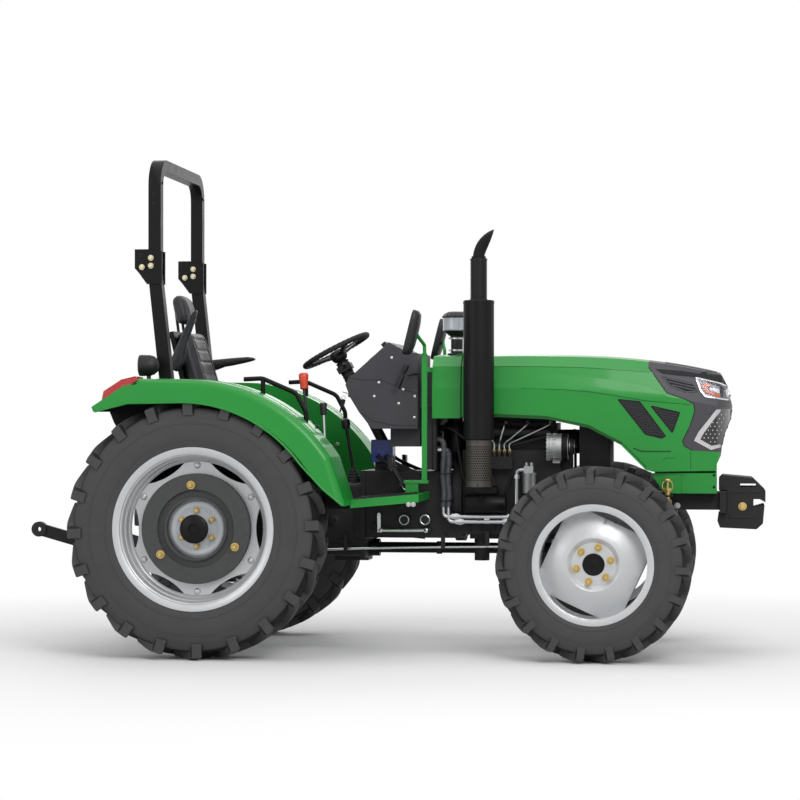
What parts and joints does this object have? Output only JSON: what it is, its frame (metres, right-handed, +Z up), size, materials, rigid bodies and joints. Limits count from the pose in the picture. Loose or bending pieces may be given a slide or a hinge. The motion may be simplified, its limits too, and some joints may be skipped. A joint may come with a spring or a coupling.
{
  "type": "farm tractor",
  "caption": "Open-station four-wheel-drive farm tractor with a folding roll bar, tilting hood, side exhaust, front weights and a rear three-point hitch.",
  "frame": {"origin": "on the ground, midway between the ends of the lower links and the front weights, on the centre plane", "axes": "+X forward, +Y to the left of the driver, +Z up"},
  "size_m": [3.488, 1.632, 2.343],
  "materials": {
    "tyre": "matte",
    "rim": "satin",
    "black_cast": "satin",
    "green_paint": "gloss",
    "dark_plastic": "matte",
    "lamp": "gloss",
    "black_paint": "satin",
    "steel": "satin",
    "seat": "satin",
    "bowl": "gloss"
  },
  "bodies": {
    "chassis": {"controls": "dark_plastic", "cowl": "green_paint", "cowl_posts": "green_paint", "dash_console": "dark_plastic", "drawbar": "black_cast", "drive_shaft": "black_cast", "engine": "black_cast", "engine_accessories": "steel", "exhaust": "black_paint", "exhaust_guards": "black_paint", "fender_left": "green_paint", "fender_right": "green_paint", "firewall": "black_paint", "front_axle": "black_cast", "front_frame": "black_cast", "front_weights": "black_cast", "grab_rails": "black_paint", "hydraulic_pipes": "steel", "lift_housing": "black_cast", "mirrors": "dark_plastic", "nose_cover": "green_paint", "platform": "green_paint", "precleaner": "bowl", "radiator": "black_cast", "rear_axle": "black_cast", "rear_lamps": "lamp", "roll_bar_posts": "black_paint", "seat_frame": "black_paint", "seat_pads": "seat", "steering_column": "black_paint", "transmission": "black_cast"},
    "rear_wheel_left": {"rear_tyre_left": "tyre", "rear_rim_left": "rim", "wheel_weight_left": "black_cast"},
    "front_wheel_left": {"front_tyre_left": "tyre", "front_rim_left": "rim"},
    "knuckle_left": {"knuckle_left": "black_cast"},
    "armrest_left": {"armrest_left": "dark_plastic"},
    "lower_link_left": {"lower_link_left": "black_cast"},
    "lift_rod_left": {"lift_rod_left": "black_cast"},
    "rear_wheel_right": {"rear_tyre_right": "tyre", "rear_rim_right": "rim", "wheel_weight_right": "black_cast"},
    "front_wheel_right": {"front_tyre_right": "tyre", "front_rim_right": "rim"},
    "knuckle_right": {"knuckle_right": "black_cast"},
    "armrest_right": {"armrest_right": "dark_plastic"},
    "lower_link_right": {"lower_link_right": "black_cast"},
    "lift_rod_right": {"lift_rod_right": "black_cast"},
    "steering_link": {"steer_rod": "steel"},
    "hood": {"hood": "green_paint", "nose_trim": "dark_plastic", "nose_lamps": "lamp", "side_grilles": "dark_plastic"},
    "roll_bar": {"roll_bar_hoop": "black_paint"},
    "steering_wheel": {"steering_wheel": "dark_plastic"},
    "lift_arms": {"lift_arms": "black_cast"}
  },
  "joints": [
    {"name": "rear_wheel_left_spin", "type": "hinge", "parent": "chassis", "child": "rear_wheel_left", "pos_m": [-0.868, 0.66, 0.6025], "axis": [0, 1, 0], "continuous": true},
    {"name": "rear_wheel_right_spin", "type": "hinge", "parent": "chassis", "child": "rear_wheel_right", "pos_m": [-0.868, -0.66, 0.6025], "axis": [0, 1, 0], "continuous": true},
    {"name": "steer_left", "type": "hinge", "parent": "chassis", "child": "knuckle_left", "pos_m": [0.962, 0.44, 0.485], "axis": [0, 0, 1], "range_deg": [-40, 40]},
    {"name": "steer_right", "type": "hinge", "parent": "chassis", "child": "knuckle_right", "pos_m": [0.962, -0.44, 0.485], "axis": [0, 0, 1], "range_deg": [-40, 40]},
    {"name": "front_wheel_left_spin", "type": "hinge", "parent": "knuckle_left", "child": "front_wheel_left", "pos_m": [0.962, 0.62, 0.4475], "axis": [0, 1, 0], "continuous": true},
    {"name": "front_wheel_right_spin", "type": "hinge", "parent": "knuckle_right", "child": "front_wheel_right", "pos_m": [0.962, -0.62, 0.4475], "axis": [0, 1, 0], "continuous": true},
    {"name": "steering_rod_slide", "type": "slide", "parent": "chassis", "child": "steering_link", "axis": [0, -1, 0], "range_m": [-0.118, 0.118]},
    {"name": "steering_wheel_turn", "type": "hinge", "parent": "chassis", "child": "steering_wheel", "pos_m": [-0.325, 0, 1.441], "axis": [-0.4618, 0, 0.887], "range_deg": [-482, 482]},
    {"name": "hood_open", "type": "hinge", "parent": "chassis", "child": "hood", "pos_m": [0.3195, 0, 1.42], "axis": [0, -1, 0], "range_deg": [0, 55]},
    {"name": "roll_bar_fold", "type": "hinge", "parent": "chassis", "child": "roll_bar", "pos_m": [-1.171, 0, 1.825], "axis": [0, -1, 0], "range_deg": [0, 90]},
    {"name": "armrest_left_swing", "type": "hinge", "parent": "chassis", "child": "armrest_left", "pos_m": [-1.062, 0.276, 1.362], "axis": [0, -1, 0], "range_deg": [0, 60]},
    {"name": "armrest_right_swing", "type": "hinge", "parent": "chassis", "child": "armrest_right", "pos_m": [-1.062, -0.276, 1.362], "axis": [0, -1, 0], "range_deg": [-60, 0]},
    {"name": "lift", "type": "hinge", "parent": "chassis", "child": "lift_arms", "pos_m": [-0.928, 0, 0.84], "axis": [0, 1, 0], "range_deg": [-26, 19]},
    {"name": "lower_link_left_swing", "type": "hinge", "parent": "chassis", "child": "lower_link_left", "pos_m": [-0.908, 0.232, 0.34], "axis": [0, 1, 0], "range_deg": [-27, 20]},
    {"name": "lower_link_right_swing", "type": "hinge", "parent": "chassis", "child": "lower_link_right", "pos_m": [-0.908, -0.232, 0.34], "axis": [0, 1, 0], "range_deg": [-27, 20]},
    {"name": "lift_rod_left_swing", "type": "hinge", "parent": "lift_arms", "child": "lift_rod_left", "pos_m": [-1.2345, 0.316, 0.93195], "axis": [0, 1, 0], "range_deg": [-20, 27]},
    {"name": "lift_rod_right_swing", "type": "hinge", "parent": "lift_arms", "child": "lift_rod_right", "pos_m": [-1.2345, -0.316, 0.93195], "axis": [0, 1, 0], "range_deg": [-20, 27]}
  ],
  "couplings": [
    {"joint": "steer_right", "follows": "steer_left", "ratio": 1},
    {"joint": "steering_rod_slide", "follows": "steer_left", "m_per_rad": 0.16573},
    {"joint": "steering_wheel_turn", "follows": "steer_left", "ratio": 12},
    {"joint": "lower_link_left_swing", "follows": "lift", "ratio": 1},
    {"joint": "lift_rod_left_swing", "follows": "lift", "ratio": -1},
    {"joint": "lower_link_right_swing", "follows": "lift", "ratio": 1},
    {"joint": "lift_rod_right_swing", "follows": "lift", "ratio": -1}
  ]
}
